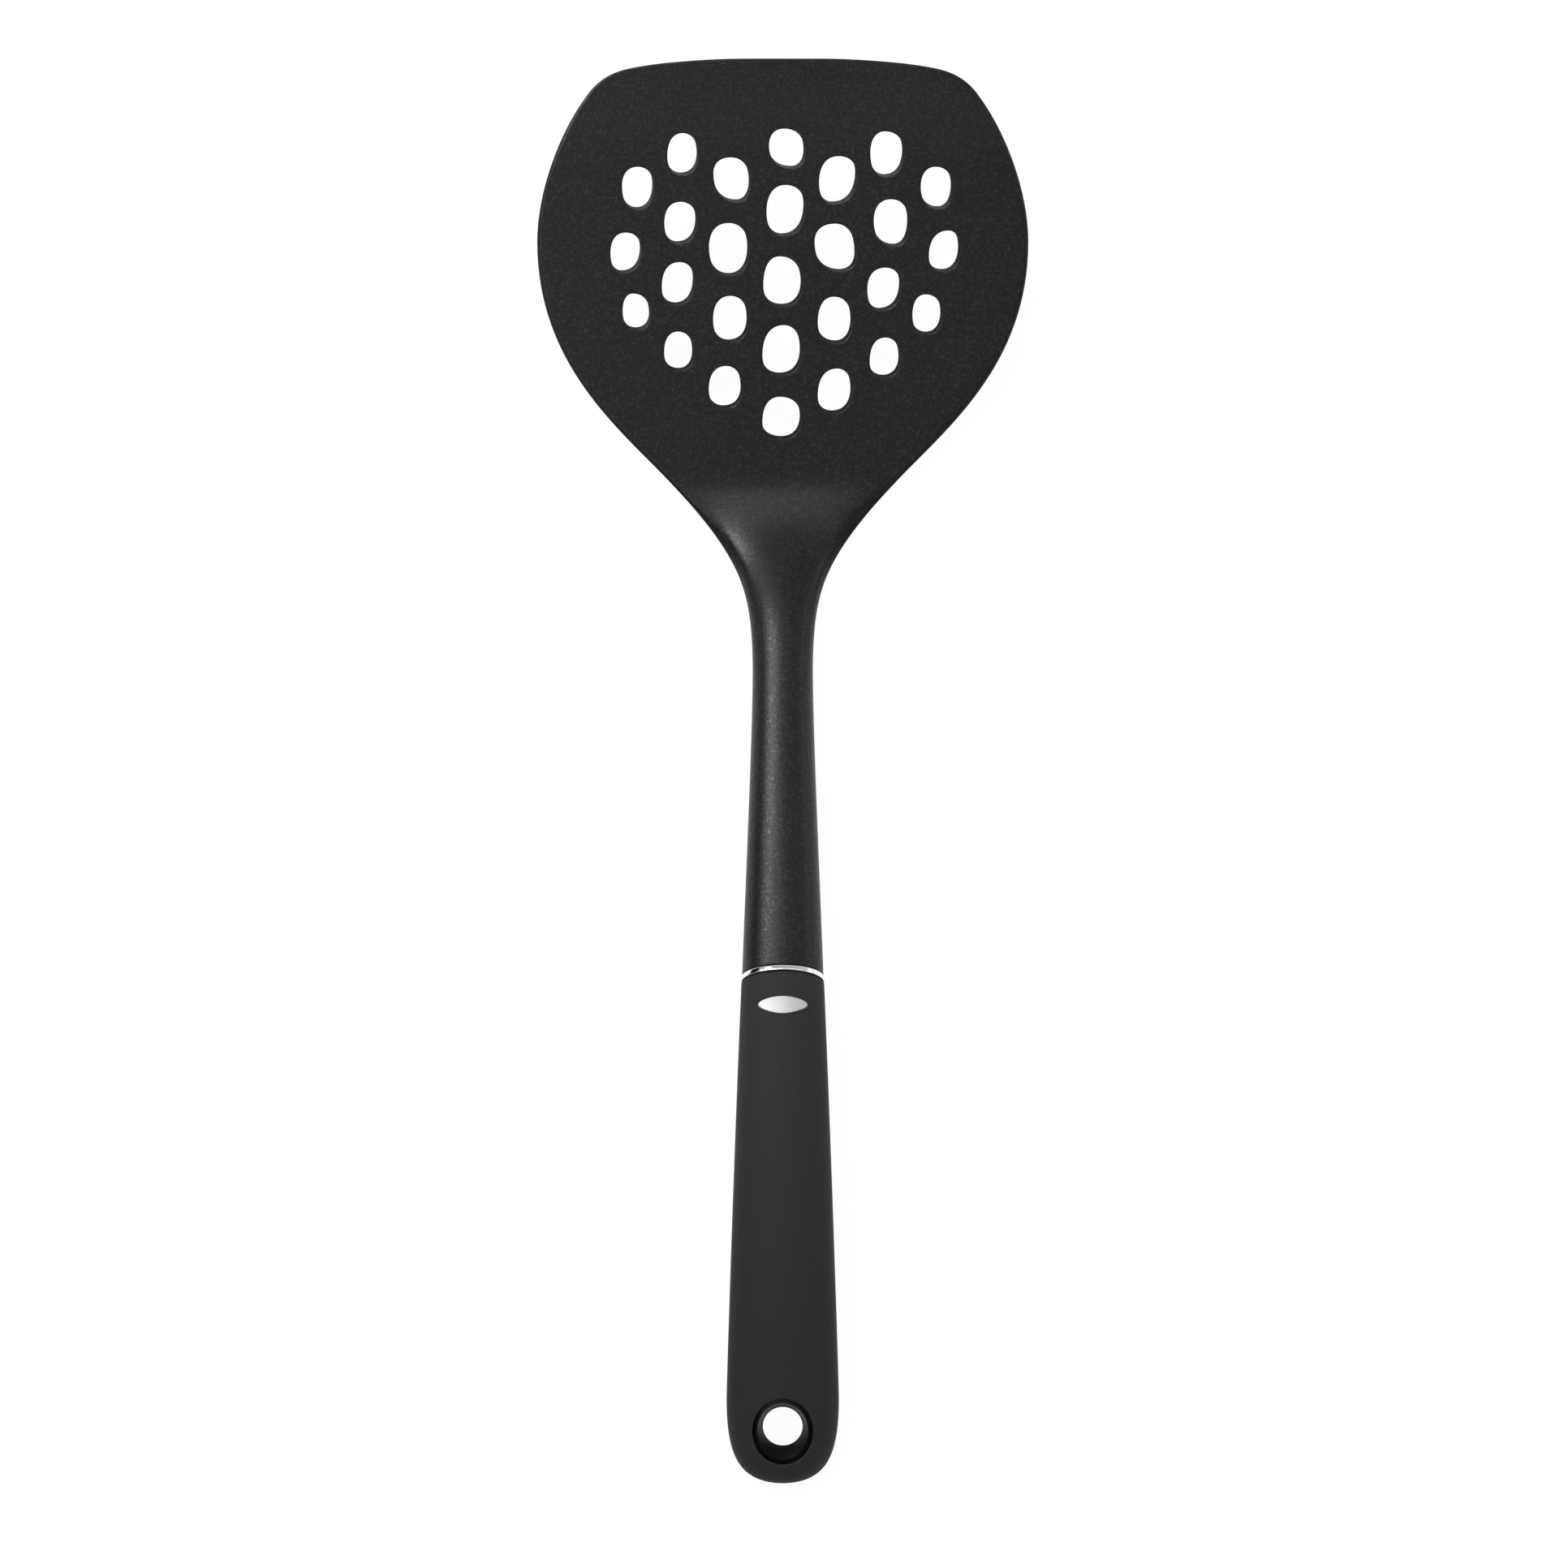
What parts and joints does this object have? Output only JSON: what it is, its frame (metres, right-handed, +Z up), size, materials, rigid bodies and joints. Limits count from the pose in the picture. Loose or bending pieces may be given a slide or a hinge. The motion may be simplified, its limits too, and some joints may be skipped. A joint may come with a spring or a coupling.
{
  "type": "kitchen turner",
  "caption": "Perforated nylon kitchen turner: flat drain-holed blade, upswept oval stem, bright trim ring and soft arched grip with a hang hole.",
  "frame": {"origin": "centre of the bounding box at its bottom, on the table the turner lies on", "axes": "+Y from the tail of the grip towards the blade's front edge, +Z up from the table, +X to the right seen from the grip"},
  "size_m": [0.115, 0.3358, 0.0352],
  "materials": {
    "nylon": "fine-grained matt black nylon with a soft sheen",
    "bright_trim": "polished bright plating",
    "rigid_core": "fine-grained matt black plastic",
    "soft_skin": "smooth matt soft elastomer",
    "badge": "satin bright plating, left bare"
  },
  "bodies": {
    "root": {"blade_and_stem": "nylon", "trim_ring": "bright_trim", "handle_core": "rigid_core", "soft_grip": "soft_skin", "badge_plate": "badge"}
  },
  "joints": []
}
